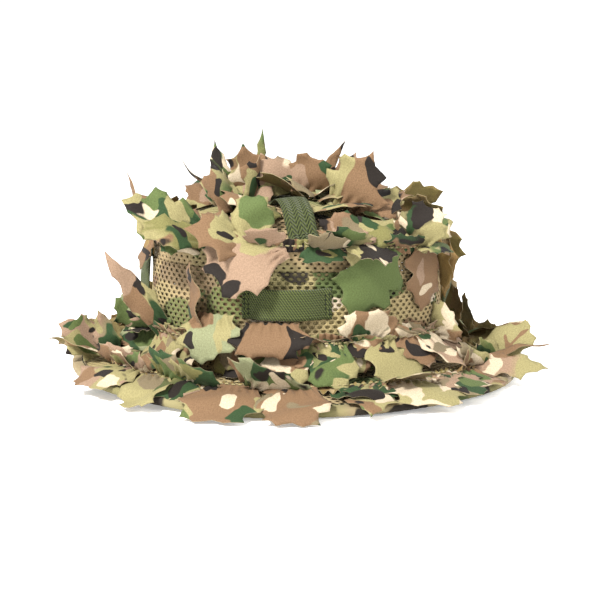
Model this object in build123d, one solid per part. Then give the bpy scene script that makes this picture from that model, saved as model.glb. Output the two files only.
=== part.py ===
"""A soft ghillie bush hat: perforated mesh crown and brim, webbing loops for foliage and gathered leaf strips.

Millimetres. +Z is up and +X is the wearer's front. The origin is the centre of the head opening, on the plane
that the brim's edge rests on. Every cloth piece is a closed solid of its own thickness.
"""

import math
import os

from build123d import *

# Driving dimensions of the hat
HEAD_A, HEAD_B = 100.5, 83.5      # half length and half width of the head opening: a 580 mm head
CLOTH = 1.2                       # thickness of the crown's mesh with its seam allowance
GAP = 0.3                         # air between neighbouring cloth pieces
SWEATBAND_T, SWEATBAND_H = 1.5, 32.0
CROWN_BASE_Z, CROWN_TOP_Z = 16.0, 100.0
CROWN_TAPER = 5.0                 # how much further in the wall stands at its top than at its base
DOME_RISE = 22.0
BRIM_W = 54.0
BRIM_RIM_Z = 3.8                  # top of the brim's layers at its rim
LAYER, LAYER_GAP = 0.8, 0.1       # each of the brim's three layers, and the air between them
BINDING_W = 8.0
BAND_T, BAND_TOP_Z = 1.0, 82.0    # the second layer of mesh round the lower crown
WEBBING_W, WEBBING_T = 20.0, 1.2
LOOP_L, END_LOOP_L = 58.0, 54.0   # sewn length of the side and top loops, and of the front and rear ones
LOOP_FOOT = 5.0                   # length of each sewn end of a webbing loop
WALL_BOW, DOME_BOW = 6.5, 9.5     # how far a loop stands off the wall, and off the dome
CORE = 3.0                        # the gathered middle of a leaf strip, a square section
LEAF_T, LEAF_TWIST = 0.7, 8.0

# The crown wall's outside at its base, which every other oval is offset from
BASE_A = HEAD_A + SWEATBAND_T + GAP + CLOTH
BASE_B = HEAD_B + SWEATBAND_T + GAP + CLOTH
BRIM_SLOPE = (CROWN_BASE_Z - BRIM_RIM_Z) / BRIM_W
WALL_LEAN = CROWN_TAPER / (CROWN_TOP_Z - CROWN_BASE_Z)
DOME_A, DOME_B = BASE_A - CROWN_TAPER, BASE_B - CROWN_TAPER
DOME_NARROW = DOME_B / DOME_A
DOME_R = (DOME_A**2 + DOME_RISE**2) / (2 * DOME_RISE)
BEYOND = 400.0                    # larger than the hat, for cutting


def wall_offset(z):
    """How far the wall's outside stands out from its base oval at height z, negative above the base."""
    return -WALL_LEAN * (z - CROWN_BASE_Z)


def brim_z(offset):
    """Height of the brim's upper face at this distance out from the crown's base."""
    return CROWN_BASE_Z - BRIM_SLOPE * offset


def dome_z(x, y):
    """Height of the crown top's upper face, part of a sphere narrowed in Y."""
    reach_squared = x * x + (y / DOME_NARROW) ** 2
    return CROWN_TOP_Z + GAP + DOME_RISE - DOME_R + math.sqrt(DOME_R**2 - reach_squared)


def frustum(low_offset, low_z, high_offset, high_z):
    """A solid between two level ovals, each given by its offset from the crown's base oval."""
    low = Pos(0, 0, low_z) * Ellipse(BASE_A + low_offset, BASE_B + low_offset)
    high = Pos(0, 0, high_z) * Ellipse(BASE_A + high_offset, BASE_B + high_offset)
    return loft([low.face(), high.face()])


def band(z0, z1, inner, outer):
    """An oval band that follows the leaning wall, from inner to outer millimetres off its outside."""
    o0, o1 = wall_offset(z0), wall_offset(z1)
    return frustum(o0 + outer, z0, o1 + outer, z1) - frustum(o0 + inner, z0, o1 + inner, z1)


def ring(z0, z1, inner, outer):
    """An upright oval ring between two offsets."""
    return frustum(outer, z0, outer, z1) - frustum(inner, z0, inner, z1)


def under_brim_face(shift):
    """Everything under the brim's upper face moved up by shift, for cutting layers with."""
    inside, outside = -6.0, 90.0
    return frustum(outside, brim_z(outside) + shift, inside, brim_z(inside) + shift)


def half_of(shape, side):
    """The half of a ring on the wearer's left (side +1) or right (side -1), clear of the other at the seams."""
    cutter = Pos(0, side * (BEYOND + GAP) / 2, 0) * Box(2 * BEYOND, BEYOND, BEYOND)
    return shape & cutter


def sectors(shape, span, count):
    """The arc of a ring over a span of bearings, cut into solids that meet face to face."""
    bearings = [math.radians(span[0] + (span[1] - span[0]) * k / count) for k in range(count + 1)]
    corners = [(BEYOND * math.cos(a), BEYOND * math.sin(a)) for a in bearings]
    made = []
    for here, there in zip(corners, corners[1:]):
        wedge = extrude(make_face(Polyline((0, 0), here, there, close=True)), BEYOND)
        made.append((shape & wedge).solid())
    return made


# Crown

def crown_side(side):
    return half_of(band(CROWN_BASE_Z - 3, CROWN_TOP_Z, -CLOTH, 0), side)


def dome_arc(half_span, rise):
    """A dome's arc in the XZ plane, from its top to its rim."""
    radius = (half_span**2 + rise**2) / (2 * rise)
    half = math.asin(half_span / radius) / 2
    top = CROWN_TOP_Z + GAP + rise
    middle = (radius * math.sin(half), top - radius * (1 - math.cos(half)))
    return ThreePointArc((0, top), middle, (half_span, top - rise))


def crown_top():
    """A shallow dome, turned about Z and then narrowed to the oval."""
    upper, lower = dome_arc(DOME_A, DOME_RISE), dome_arc(DOME_A - CLOTH, DOME_RISE - CLOTH)
    ends = [Line(upper @ k, lower @ k) for k in (0, 1)]
    dome = revolve(Plane.XZ * make_face([upper, lower, *ends]), Axis.Z)
    return scale(dome, by=(1, DOME_NARROW, 1))


def crown_seam_tape():
    return band(CROWN_TOP_Z - 10, CROWN_TOP_Z - 1, -CLOTH - GAP - 1.0, -CLOTH - GAP)


def crown_mesh_band():
    return band(CROWN_BASE_Z + 0.4, BAND_TOP_Z, GAP, GAP + BAND_T)


def sweatband():
    z0 = CROWN_BASE_Z - 2
    return band(z0, z0 + SWEATBAND_H, -CLOTH - GAP - SWEATBAND_T, -CLOTH - GAP)


# Brim

def brim_layer(number):
    """Layer 0 is the upper mesh, 1 the stiffener and 2 the cloth underneath."""
    top = -number * (LAYER + LAYER_GAP)
    sheet = under_brim_face(top) - under_brim_face(top - LAYER)
    return sheet & ring(-1, CROWN_BASE_Z + 4, GAP, BRIM_W - 1.5)


def brim_binding():
    """The tape folded round the brim's rim, flat underneath where the hat rests."""
    flange = 0.8
    stack = 3 * LAYER + 2 * LAYER_GAP
    outside = ring(0, 12, BRIM_W - BINDING_W, BRIM_W) & under_brim_face(flange + LAYER_GAP)
    slot = under_brim_face(LAYER_GAP) - under_brim_face(-stack - LAYER_GAP)
    return outside - (slot & ring(-3, 12, 0, BRIM_W - 1.4))


# Webbing loops

def loop_profile(length, bow, bend_radius):
    """Side view of a loop: two feet on a surface of that bend, and a bowed middle."""
    def sag(x):
        return 0.15 - x * x / (2 * bend_radius)

    end, heel = length / 2, length / 2 - LOOP_FOOT
    outer = ThreePointArc((-end, sag(end)), (0, bow + WEBBING_T), (end, sag(end)))
    inner = ThreePointArc((-heel, sag(heel)), (0, bow), (heel, sag(heel)))
    feet = [Line((s * end, sag(end)), (s * heel, sag(heel))) for s in (-1, 1)]
    return make_face([outer, inner, *feet])


def webbing_loop(at, along, outward, length, bow, bend_radius):
    """A loop sewn at a point, its length along one direction and its bow along outward."""
    across = Vector(*along).cross(Vector(*outward))
    plane = Plane(origin=at, x_dir=along, z_dir=across)
    return extrude(plane * loop_profile(length, bow, bend_radius), WEBBING_W / 2, both=True)


def side_loop():
    """Level loop on the wearer's right of the crown, over the lower mesh band."""
    z = 62.0
    off = wall_offset(z) + GAP + BAND_T
    a, b = BASE_A + off, BASE_B + off
    return webbing_loop((0, -b, z), (1, 0, 0), (0, -1, WALL_LEAN), LOOP_L, WALL_BOW, a * a / b)


def end_loop():
    """Upright loop at the front of the crown."""
    z = 66.8
    at = (BASE_A + wall_offset(z) + GAP + BAND_T, 0, z)
    return webbing_loop(at, (-WALL_LEAN, 0, 1), (1, 0, WALL_LEAN), END_LOOP_L, WALL_BOW, BEYOND * 20)


def top_loop():
    """Slanting loop on the wearer's right of the dome, from near its middle to its edge."""
    x, y, yaw = -1.0, -51.0, math.radians(105)
    drop = dome_z(x, y) - CROWN_TOP_Z - GAP - DOME_RISE + DOME_R
    slope_x, slope_y = -x / drop, -y / (drop * DOME_NARROW**2)
    dx, dy = math.cos(yaw), math.sin(yaw)
    along = (dx, dy, slope_x * dx + slope_y * dy)
    bend = DOME_R * DOME_NARROW**2
    return webbing_loop((x, y, dome_z(x, y) + GAP), along, (-slope_x, -slope_y, 1), LOOP_L, DOME_BOW, bend)


# Leaf strips

LEAF_EDGE = [(0.0, 0.30), (0.14, 0.34), (0.30, 0.80), (0.40, 0.62), (0.56, 1.0), (0.66, 0.72),
             (0.80, 0.78), (0.88, 0.36), (1.0, 0.0)]


def leaf(at, outward, lift_deg, lean_deg, length, width):
    """One leaf as a flat plate. lift is 0 outward, 90 up and -90 down; lean swings it sideways."""
    out = Vector(outward[0], outward[1], 0).normalized()
    side = Vector(-out.Y, out.X, 0)
    lift, lean = math.radians(lift_deg), math.radians(lean_deg)
    straight = out * math.cos(lift) + Vector(0, 0, 1) * math.sin(lift)
    along = (straight * math.cos(lean) + side * math.sin(lean)).normalized()
    across = (side - along * side.dot(along)).normalized()
    plate = Plane(origin=at, x_dir=along, z_dir=along.cross(across)).rotated((LEAF_TWIST, 0, 0))
    right = [(length * t, width / 2 * w) for t, w in LEAF_EDGE]
    left = [(length * t, -width / 2 * w) for t, w in reversed(LEAF_EDGE[:-1])]
    outline = make_face(Polyline(*right, *left, close=True))
    return extrude(plate * outline, LEAF_T / 2, both=True)


def strip(core, centre, leaves):
    """A leaf strip: the solids of its gathered core, and leaf plates that meet them face to face.

    centre(bearing) gives the core's middle point and its outward direction; each leaf is
    (bearing, lift, lean, length, width).
    """
    pieces = list(core)
    for bearing, lift, lean, length, width in leaves:
        at, out = centre(bearing)
        plate = leaf(at, out, lift, lean, length, width) - pieces[:len(core)]
        pieces.append(max(plate.solids(), key=lambda s: s.volume))
    return Compound(children=pieces)


def on_oval(a, b, z):
    """centre() for a strip sewn along a level oval."""
    def centre(bearing):
        t = math.radians(bearing)
        return (a * math.cos(t), b * math.sin(t), z), (math.cos(t) / a, math.sin(t) / b)

    return centre


def row(count, span, lift, length, width, near=()):
    """Evenly spaced leaves over a span of bearings, whose lift, lean and length vary gently.

    near lists (bearing, reach, share): within reach degrees of that bearing a leaf has only that share of its
    length, and none at all for a share of 0.
    """
    made = []
    for k in range(count):
        bearing = span[0] + (span[1] - span[0]) * (k + 0.5) / count
        share = min([s for at, reach, s in near if abs(bearing - at) < reach], default=1.0)
        if share:
            size = length * share * (1 + 0.10 * math.cos(1.9 * k))
            made.append((bearing, lift + 5 * math.sin(2.4 * k), 6 * math.sin(1.7 * k), size, width))
    return made


def pair(shape):
    """A piece and its twin half a turn round the crown."""
    return shape, Rot(0, 0, 180) * shape


# Bearings of the wearer's right half, from the rear round to the front, just short of the other half's
RIGHT_SIDE = (180.2, 359.8)
CORE_PIECES = 8


def brim_leaf_strip():
    """Sewn along the middle of the brim: one row of leaves over the rim and one standing up."""
    off, z = BRIM_W / 2, brim_z(BRIM_W / 2 - CORE / 2) + GAP
    core = sectors(ring(z, z + CORE, off - CORE / 2, off + CORE / 2), RIGHT_SIDE, CORE_PIECES)
    leaves = row(10, RIGHT_SIDE, 0, 44.5, 34) + row(9, RIGHT_SIDE, 84, 22, 30)
    return strip(core, on_oval(BASE_A + off, BASE_B + off, z + CORE / 2), leaves)


def base_leaf_strip():
    """Sewn round the foot of the crown: one row standing against the wall, one hanging over the brim."""
    z, inner = 35.5, 2 * GAP + BAND_T
    off = wall_offset(z) + inner + CORE / 2
    core = sectors(band(z, z + CORE, inner, inner + CORE), RIGHT_SIDE, CORE_PIECES)
    loops = [(180, 13, 0.0), (270, 18, 0.45), (360, 13, 0.0)]
    leaves = row(9, RIGHT_SIDE, -58, 21, 30) + row(8, RIGHT_SIDE, 76, 25, 32, loops)
    return strip(core, on_oval(BASE_A + off, BASE_B + off, z + CORE / 2), leaves)


def edge_leaf_strip():
    """Sewn round the top of the crown wall: one row hanging down it, one lying in over the dome."""
    z = CROWN_TOP_Z - 1.5
    off = wall_offset(z) + GAP + CORE / 2
    core = sectors(band(z, z + CORE, GAP, GAP + CORE), RIGHT_SIDE, CORE_PIECES)
    end_loops, top_loop_end = [(180, 14, 0.0), (360, 14, 0.0)], [(276, 14, 0.0)]
    leaves = row(8, RIGHT_SIDE, -60, 32, 34, end_loops) + row(7, RIGHT_SIDE, 140, 23, 32, top_loop_end)
    return strip(core, on_oval(BASE_A + off, BASE_B + off, z + CORE / 2), leaves)


def dome_leaf_strip():
    """An arc sewn on the front of the dome, with leaves lying out from it and standing."""
    a, span = 50.0, (-56, 56)
    b, z = a * DOME_NARROW, dome_z(a - CORE / 2, 0) + GAP
    outer, inner = (extrude(Pos(0, 0, z) * Ellipse(a + s, b + s), CORE) for s in (CORE / 2, -CORE / 2))
    core = sectors(outer - inner, span, CORE_PIECES // 2)
    leaves = row(5, span, 6, 36, 34) + row(5, span, 84, 40, 32)
    return strip(core, on_oval(a, b, z + CORE / 2), leaves)


def centre_leaf_strip():
    """A straight strip along the middle of the dome, its leaves standing either side."""
    half_length = 34.0

    def above_dome(x, lift):
        return x, dome_z(x, 0) + GAP + lift

    arcs = [ThreePointArc(*(above_dome(x, lift) for x in (-half_length, 0, half_length))) for lift in (0, CORE)]
    sides = [Line(above_dome(x, 0), above_dome(x, CORE)) for x in (-half_length, half_length)]
    core = [extrude(Plane.XZ * make_face([*arcs, *sides]), CORE / 2, both=True)]

    def centre(bearing):
        x = half_length * (abs(bearing) / 90 - 1)
        return (x, 0, above_dome(x, CORE / 2)[1]), (0, math.copysign(1, bearing))

    leaves = row(4, (12, 168), 62, 42, 30) + row(4, (-168, -12), 66, 38, 30)
    return strip(core, centre, leaves)


def main():
    parts = {
        "crown_side_right": crown_side(-1),
        "crown_side_left": crown_side(1),
        "crown_top": crown_top(),
        "crown_seam_tape": crown_seam_tape(),
        "crown_mesh_band": crown_mesh_band(),
        "sweatband": sweatband(),
        "brim_mesh": brim_layer(0),
        "brim_stiffener": brim_layer(1),
        "brim_underside": brim_layer(2),
        "brim_binding": brim_binding(),
        "leaf_strip_dome_centre": centre_leaf_strip(),
    }
    parts["loop_side_right"], parts["loop_side_left"] = pair(side_loop())
    parts["loop_front"], parts["loop_rear"] = pair(end_loop())
    parts["loop_top_right"], parts["loop_top_left"] = pair(top_loop())
    parts["leaf_strip_brim_right"], parts["leaf_strip_brim_left"] = pair(brim_leaf_strip())
    parts["leaf_strip_base_right"], parts["leaf_strip_base_left"] = pair(base_leaf_strip())
    parts["leaf_strip_edge_right"], parts["leaf_strip_edge_left"] = pair(edge_leaf_strip())
    parts["leaf_strip_dome_front"], parts["leaf_strip_dome_rear"] = pair(dome_leaf_strip())

    os.makedirs("parts", exist_ok=True)
    for name, shape in parts.items():
        export_step(shape, f"parts/{name}.step")


main()
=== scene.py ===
"""Looks for a ghillie bush hat: perforated mesh crown and brim, webbing loops and gathered strips of cloth leaves.

Shapes are worked out in millimetres in the CAD frame, and become metres when a mesh is made.
"""

import math
import random

import bpy
import numpy as np
from mathutils.geometry import delaunay_2d_cdt
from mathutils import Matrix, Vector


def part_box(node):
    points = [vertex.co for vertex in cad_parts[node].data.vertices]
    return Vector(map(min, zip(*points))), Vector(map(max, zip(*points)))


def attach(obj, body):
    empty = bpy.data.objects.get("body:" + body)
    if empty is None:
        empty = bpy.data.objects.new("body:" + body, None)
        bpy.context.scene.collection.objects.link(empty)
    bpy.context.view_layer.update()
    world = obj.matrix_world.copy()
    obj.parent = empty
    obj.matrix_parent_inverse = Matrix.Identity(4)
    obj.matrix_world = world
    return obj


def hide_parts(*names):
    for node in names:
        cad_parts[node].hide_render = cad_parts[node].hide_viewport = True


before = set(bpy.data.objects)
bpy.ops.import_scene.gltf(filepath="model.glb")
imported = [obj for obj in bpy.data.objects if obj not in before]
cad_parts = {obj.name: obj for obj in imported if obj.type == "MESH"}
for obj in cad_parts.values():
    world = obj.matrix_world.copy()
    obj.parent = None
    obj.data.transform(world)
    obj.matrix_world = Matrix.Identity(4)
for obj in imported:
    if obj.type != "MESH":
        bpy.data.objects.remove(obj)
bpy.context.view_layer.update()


# ---------------------------------------------------------------- the CAD's main surfaces

def corners_mm(node):
    low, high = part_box(node)
    return np.array(low) * 1000, np.array(high) * 1000


DOME_LOW, DOME_HIGH = corners_mm("crown_top")
WALL_LOW, WALL_HIGH = corners_mm("crown_side_right")
BAND_LOW, BAND_HIGH = corners_mm("crown_mesh_band")
SWEAT_LOW, SWEAT_HIGH = corners_mm("sweatband")

TOP_A, TOP_B, TOP_Z = DOME_HIGH[0], DOME_HIGH[1], DOME_LOW[2]
DOME_RISE = DOME_HIGH[2] - DOME_LOW[2]
DOME_R = (TOP_A**2 + DOME_RISE**2) / (2 * DOME_RISE)
DOME_NARROW = TOP_B / TOP_A
FOOT_A, FOOT_B, FOOT_Z = WALL_HIGH[0], -WALL_LOW[1], WALL_LOW[2]
LEAN = (FOOT_A - TOP_A) / (WALL_HIGH[2] - FOOT_Z)
BRIM_IN_Z = corners_mm("brim_mesh")[1][2]
BASE_A, BASE_B = FOOT_A - LEAN * (BRIM_IN_Z - FOOT_Z), FOOT_B - LEAN * (BRIM_IN_Z - FOOT_Z)
BRIM_W = corners_mm("brim_binding")[1][0] - BASE_A
RIM_A, RIM_B = BASE_A + BRIM_W, BASE_B + BRIM_W
BRIM_DROP = 12.2
UP = np.array([0, 0, 1.0])


def wall_off(z):
    """How far the wall's outside stands out from its foot oval."""
    return -LEAN * (z - BRIM_IN_Z)


def on_oval(angle, off, z):
    """The point at a bearing in radians, off millimetres out from the foot oval."""
    return (BASE_A + off) * math.cos(angle), (BASE_B + off) * math.sin(angle), z


def brim_off(x, y):
    """How far out on the brim a point is, from the foot of the wall."""
    r = np.hypot(x, y)
    rho = np.hypot(x / BASE_A, y / BASE_B)
    return r - r / np.maximum(rho, 1e-6)


def brim_z(off):
    return BRIM_IN_Z - BRIM_DROP * off / BRIM_W


def dome_z(x, y):
    reach = np.minimum(x * x + (y / DOME_NARROW) ** 2, TOP_A**2 * 1.15)
    return TOP_Z + DOME_RISE - DOME_R + np.sqrt(DOME_R**2 - reach)


def bump(angle, centre_deg, reach_deg):
    """A smooth hill over bearings, 1 at its centre."""
    d = (angle - math.radians(centre_deg) + math.pi) % math.tau - math.pi
    return np.exp(-((d / math.radians(reach_deg)) ** 2))


def soften(points):
    """The slump and folds of a soft hat: every piece goes through this, so they keep together."""
    p = np.array(points, float)
    x, y, z = p.T.copy()
    angle = np.arctan2(y / BASE_B, x / BASE_A)
    rho = np.hypot(x / BASE_A, y / BASE_B)
    out = np.clip((rho - 1) * 2, 0, 1)
    up = np.clip((z - BRIM_IN_Z) / (TOP_Z - BRIM_IN_Z), 0, 1.3)
    c = np.cos(angle)
    # the brim turns up at both ends and waves, and the crown's top sinks at one end and rises at the other
    rise = out * (5.5 * np.clip(-c, 0, 1) ** 2 + 2.0 * np.clip(c, 0, 1) ** 2)
    rise += out**2 * 0.6 * (1 + np.sin(5 * angle + 0.6))
    rise -= 5.5 * up**2 * bump(angle, -32, 34) * np.clip(rho, 0, 1) ** 2
    rise += 2.5 * up**2 * bump(angle, -150, 30) * np.clip(rho, 0, 1) ** 2
    # waves, two upright folds and a ridge in the wall, none at its foot or top
    near_wall = np.exp(-(((rho - 0.97) / 0.14) ** 2)) * np.sin(math.pi * np.clip(up, 0, 1))
    dent = 1.3 * np.sin(3 * angle + 1.0 + 1.5 * up) + 0.8 * np.sin(8 * angle - 3 * up)
    dent -= 3.0 * bump(angle, -126, 5) - 1.6 * bump(angle, -116, 6)
    dent -= 2.0 * bump(angle, -57, 7)
    p[:, 0] += dent * near_wall * np.cos(angle)
    p[:, 1] += dent * near_wall * np.sin(angle)
    p[:, 2] += rise
    return p


# ---------------------------------------------------------------- meshes and colours

def make_object(name, verts_mm, faces, uv_mm, materials):
    """A smooth mesh piece from millimetres. uv_mm is per vertex and becomes the UV map "cloth", in metres."""
    mesh = bpy.data.meshes.new(name)
    mesh.from_pydata((soften(verts_mm) / 1000).tolist(), [], [tuple(f) for f in faces])
    layer = mesh.uv_layers.new(name="cloth")
    index = np.empty(len(mesh.loops), np.int32)
    mesh.loops.foreach_get("vertex_index", index)
    layer.data.foreach_set("uv", (np.asarray(uv_mm, float)[index] / 1000).astype(np.float32).ravel())
    for m in materials:
        mesh.materials.append(m)
    mesh.polygons.foreach_set("use_smooth", np.full(len(mesh.polygons), True))
    mesh.update()
    obj = bpy.data.objects.new(name, mesh)
    bpy.context.scene.collection.objects.link(obj)
    return obj


def thicken(obj, thickness_mm, back=0, rim=0):
    """back and rim are the places of their materials, counted from the front's."""
    m = obj.modifiers.new("thickness", "SOLIDIFY")
    m.thickness, m.offset, m.use_even_offset = thickness_mm / 1000, 0, False
    m.material_offset, m.material_offset_rim = back, rim


def settle(obj, slot, *nodes):
    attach(obj, "root")
    if nodes:
        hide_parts(*nodes)
    return obj


def linear(r, g, b, lift=0.68):
    """A linear colour from 8-bit sRGB, dimmed by lift to suit the studio's light."""
    out = []
    for v in (r, g, b):
        v = v / 255
        out.append(min(lift * (v / 12.92 if v <= 0.04045 else ((v + 0.055) / 1.055) ** 2.4), 0.92))
    return (*out, 1.0)


CLOTH = {
    "t": linear(161, 134, 112),  # pinkish tan
    "k": linear(160, 151, 106),  # khaki
    "o": linear(130, 126, 78),   # olive
    "c": linear(212, 195, 168),  # cream
    "b": linear(134, 105, 78),   # brown
    "d": linear(40, 34, 30),     # dark brown
    "g": linear(95, 110, 64),    # green
    "G": linear(52, 75, 45),     # dark green
    "p": linear(146, 150, 114),  # pale green
    "r": linear(134, 120, 94),   # greyish tan
    "m": linear(152, 127, 80),   # mustard, as on the cloth's back
}


def ink(what):
    """A colour by its letter in CLOTH or by its 8-bit numbers."""
    return CLOTH[what] if isinstance(what, str) else linear(*what)


# ---------------------------------------------------------------- materials

class Nodes:
    """Short ways to add shader nodes to one material."""

    def __init__(self, name, roughness, sheen=0.0, specular=0.12):
        self.material = bpy.data.materials.new(name)
        self.material.use_nodes = True
        self.tree = self.material.node_tree
        self.bsdf = self.tree.nodes["Principled BSDF"]
        self.set("Roughness", roughness)
        self.set("Specular IOR Level", specular)
        self.set("Sheen Weight", sheen)
        self.set("Sheen Roughness", 0.5)

    def set(self, name, value):
        self.bsdf.inputs[name].default_value = value

    def add(self, kind, inputs=(), **props):
        node = self.tree.nodes.new(kind)
        for k, v in props.items():
            setattr(node, k, v)
        for key, value in inputs.items() if isinstance(inputs, dict) else enumerate(inputs):
            if isinstance(value, bpy.types.NodeSocket):
                self.tree.links.new(value, node.inputs[key])
            else:
                node.inputs[key].default_value = value
        return node.outputs

    def math(self, operation, *values, clamp=False):
        return self.add("ShaderNodeMath", values, operation=operation, use_clamp=clamp)[0]

    def times(self, a, b):
        return self.math("MULTIPLY", a, b)

    def plus(self, a, b):
        return self.math("ADD", a, b)

    def vector(self, operation, *values, output=0):
        return self.add("ShaderNodeVectorMath", values, operation=operation)[output]

    def mix(self, factor, a, b, blend="MIX"):
        return self.add("ShaderNodeMix", {0: factor, 6: a, 7: b}, data_type="RGBA", blend_type=blend)[2]

    def tint(self, colour, by, factor=1.0):
        return self.mix(factor, colour, (*by, 1), "MULTIPLY")

    def noise(self, vector, scale, detail=2.0, rough=0.5, at=None, output="Fac"):
        if at:
            vector = self.vector("ADD", vector, at)
        return self.add("ShaderNodeTexNoise", dict(Vector=vector, Scale=scale, Detail=detail, Roughness=rough))[output]

    def uv(self):
        return self.add("ShaderNodeUVMap", uv_map="cloth")[0]

    def attribute(self, name, output="Color"):
        return self.add("ShaderNodeAttribute", attribute_name=name)[output]

    def split(self, vector):
        return self.add("ShaderNodeSeparateXYZ", [vector])

    def wave(self, value, period_m):
        return self.math("SINE", self.times(value, math.tau / period_m))

    def weave(self, vector, period_m):
        """Height of a plain weave."""
        parts = self.split(vector)
        return self.times(self.wave(parts[0], period_m), self.wave(parts[1], period_m))

    def wobble(self, vector, scale, reach):
        """vector moved about by noise, so that printed shapes get organic edges."""
        cloud = self.noise(vector, scale, 1.5, 0.45, output="Color")
        centred = self.vector("SUBTRACT", cloud, (0.5, 0.5, 0.5))
        return self.vector("ADD", vector, self.vector("MULTIPLY", centred, (reach, reach, reach)))

    def spot(self, vector, centre, radius, sharp=14.0):
        """1 inside an ellipse, 0 outside, with a crisp edge."""
        q = self.vector("DIVIDE", self.vector("SUBTRACT", vector, centre), radius)
        inward = self.math("SUBTRACT", 1.0, self.vector("LENGTH", q, output="Value"))
        return self.math("MULTIPLY_ADD", inward, sharp, 0.5, clamp=True)

    def step(self, value, at, sharp=40.0):
        return self.math("MULTIPLY_ADD", self.math("SUBTRACT", value, at), sharp, 0.5, clamp=True)

    def finish(self, colour, height=None, strength=0.0, distance=0.0):
        """The material, with its colour and any relief joined to the shader."""
        self.tree.links.new(colour, self.bsdf.inputs["Base Color"])
        if height is not None:
            relief = self.add("ShaderNodeBump", dict(Strength=strength, Distance=distance, Height=height))
            self.tree.links.new(relief[0], self.bsdf.inputs["Normal"])
        return self.material


BLOBS = 4
SMALL_PRINTS = ((1.9, 40.0, 0.635, "G"), (3.3, 34.0, 0.655, "b"), (4.7, 52.0, 0.675, "d"), (6.1, 44.0, 0.695, "c"))


def leaf_material(name, mustard=0.0, tint=(1, 1, 1), roughness=0.66):
    """Printed cloth. Each leaf's ground colours and printed shapes come with its mesh."""
    n = Nodes(name, roughness, 0.03)
    uv = n.uv()
    place = n.wobble(n.wobble(uv, 30.0, 0.034), 95.0, 0.010)
    blend = n.step(n.noise(place, 24.0, 0.0), 0.5, 9.0)
    col = n.mix(blend, n.attribute("ground_a"), n.attribute("ground_b"))
    col = n.mix(n.step(n.noise(place, 46.0, 0.0, at=(0.7, 0.3, 0.1)), 0.60, 60.0), col, n.attribute("patch"))
    busy = n.attribute("patch", "Alpha")
    for offset, scale, at, letter in SMALL_PRINTS:
        field = n.noise(place, scale, 0.6, at=(offset, 0.4 * offset, 0.2))
        col = n.mix(n.times(n.step(field, at, 60.0), busy), col, CLOTH[letter])
    for k in range(BLOBS):
        parts = n.add("ShaderNodeSeparateColor", [n.attribute(f"blob_{k}")])
        centre = n.add("ShaderNodeCombineXYZ", [parts[0], parts[1], 0.0])[0]
        radius = n.add("ShaderNodeCombineXYZ", [parts[2], n.attribute(f"blob_{k}", "Alpha"), 1.0])[0]
        col = n.mix(n.spot(place, centre, radius), col, n.attribute(f"ink_{k}"))
    col = n.tint(n.mix(mustard, col, CLOTH["m"]), tint)
    grain = n.noise(uv, 950.0, 3.0, 0.75)
    cloud = n.noise(uv, 120.0, 2.0)
    col = n.mix(n.step(grain, 0.5, 3.0), n.tint(col, (0.76, 0.75, 0.72)), n.tint(col, (1.18, 1.18, 1.17)))
    col = n.tint(col, (0.80, 0.78, 0.72), n.times(cloud, 0.35))
    return n.finish(col, n.plus(n.weave(uv, 0.0007), n.times(cloud, 2.0)), 0.25, 0.0003)


def camo(n, place, ground, spots, random_spots):
    """A printed ground of three soft colours, then shapes: random_spots by noise, then spots by place."""
    a, b, c = map(ink, ground)
    col = n.mix(n.step(n.noise(place, 9.0, 1.0), 0.50, 9.0), a, b)
    col = n.mix(n.step(n.noise(place, 11.0, 1.0, at=(3.1, 1.7, 0.4)), 0.57, 9.0), col, c)
    for k, (scale, at, letter) in enumerate(random_spots):
        field = n.noise(place, scale, 0.8, at=(5.0 + k, 2.0 * k, 1.3 * k))
        col = n.mix(n.step(field, at), col, CLOTH[letter])
    for x, y, rx, ry, what in spots:
        mask = n.spot(place, (x / 1000, y / 1000, 0), (rx / 1000, ry / 1000, 1), 7.0)
        col = n.mix(mask, col, ink(what))
    return col


def mesh_cloth(name, spots=(), dim=1.0):
    """The perforated camouflage mesh, with a knitted face."""
    n = Nodes(name, 0.75, 0.05)
    uv = n.uv()
    col = camo(n, n.wobble(uv, 60.0, 0.014), ((190, 172, 122), (180, 157, 117), (146, 146, 96)), spots,
               [(26.0, 0.66, "g"), (34.0, 0.70, "d"), (30.0, 0.71, "c"), (24.0, 0.68, "b")])
    grain = n.noise(uv, 1500.0, 2.0)
    # dim darkens the whole cloth; the crown's inner layers use it as painted shade
    col = n.tint(n.mix(n.times(grain, 0.20), col, (0.10, 0.085, 0.045, 1)), (dim, dim, dim))
    return n.finish(col, n.plus(n.times(n.weave(uv, 0.0011), 0.5), grain), 0.5, 0.0005)


def plain_cloth(name, ground, random_spots=(), period=0.0009):
    n = Nodes(name, 0.8, 0.05)
    uv = n.uv()
    col = camo(n, n.wobble(uv, 60.0, 0.012), ground, (), random_spots)
    grain = n.noise(uv, 1800.0, 2.0)
    col = n.mix(n.times(grain, 0.30), col, (0.06, 0.05, 0.03, 1))
    return n.finish(col, n.plus(n.weave(uv, period), grain), 0.4, 0.0004)


def webbing_cloth(name, slant, fold=0.0, period=0.0026, shade=0.70):
    """Twill webbing: fine slanting ribs across its face. slant is their rise per run; they turn back every fold."""
    n = Nodes(name, 0.72, 0.08)
    uv = n.uv()
    x, y, _ = n.split(uv)
    run = n.math("MULTIPLY_ADD", x, slant, n.math("PINGPONG", y, fold) if fold else y)
    height = n.plus(n.wave(run, period), n.times(n.wave(y, 0.0016), 0.35))
    # painted light and shade: the twill's raised ribs are painted lighter and its grooves darker, following the relief
    # height
    light = n.math("MULTIPLY_ADD", height, 0.36, 0.5, clamp=True)
    col = n.mix(light, linear(24, 32, 14, shade), linear(108, 118, 64, shade))
    col = n.mix(n.times(n.noise(uv, 900.0, 3.0, 0.7), 0.25), col, linear(66, 76, 38, shade))
    return n.finish(col, height, 0.9, 0.0004)


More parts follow.
